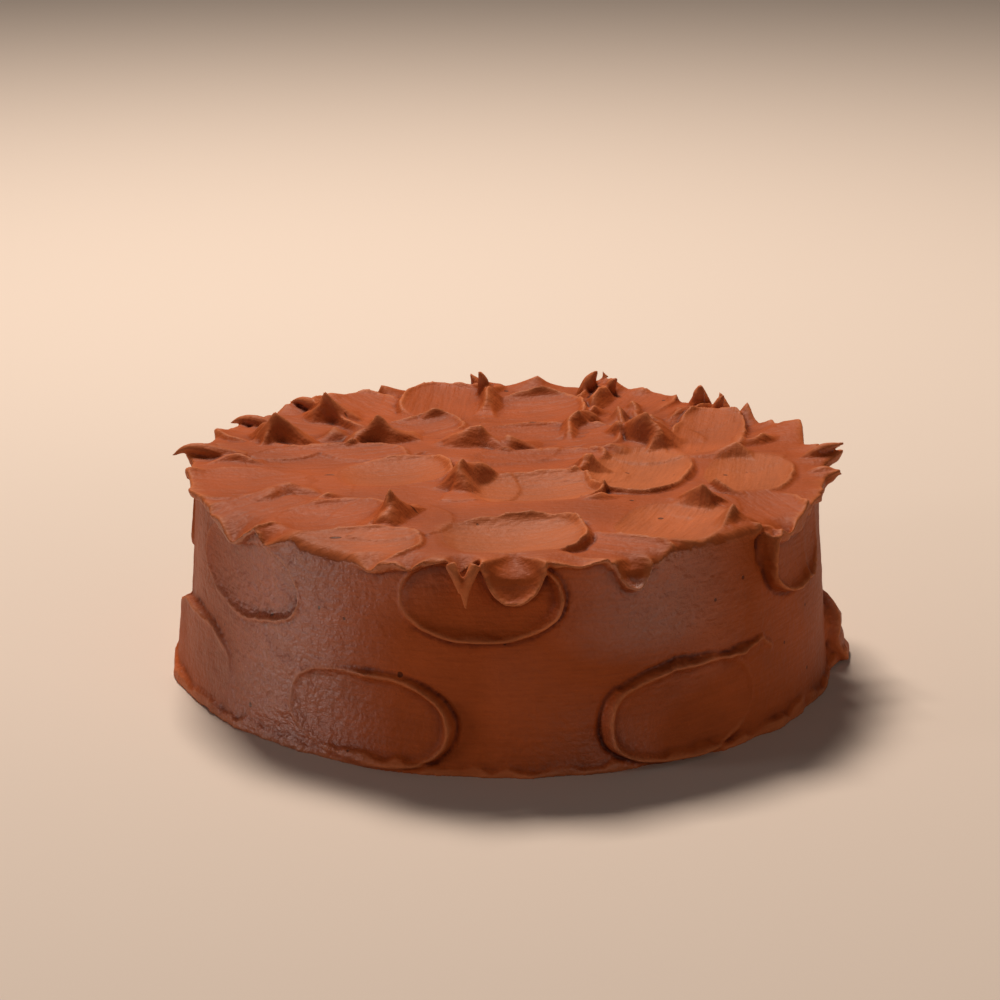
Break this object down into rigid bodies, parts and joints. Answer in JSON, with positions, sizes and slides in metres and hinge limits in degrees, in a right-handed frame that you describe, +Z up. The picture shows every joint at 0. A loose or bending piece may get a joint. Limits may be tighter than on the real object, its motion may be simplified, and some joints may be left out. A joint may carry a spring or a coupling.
{
  "type": "iced chocolate cake",
  "caption": "Whole round chocolate cake iced in buttercream, its top swirled into scoops and pulled peaks, its side marked with broad oval spatula presses.",
  "frame": {"origin": "centre of the cake's flat underside, on the surface it stands on", "axes": "+Z up through the cake's height, -Y towards the side that the picture shows, +X to that view's right"},
  "size_m": [0.2365, 0.2267, 0.081],
  "materials": {
    "chocolate_icing": "soft satin sheen, chocolate buttercream"
  },
  "bodies": {
    "root": {"iced_cake": "chocolate_icing"}
  },
  "joints": []
}
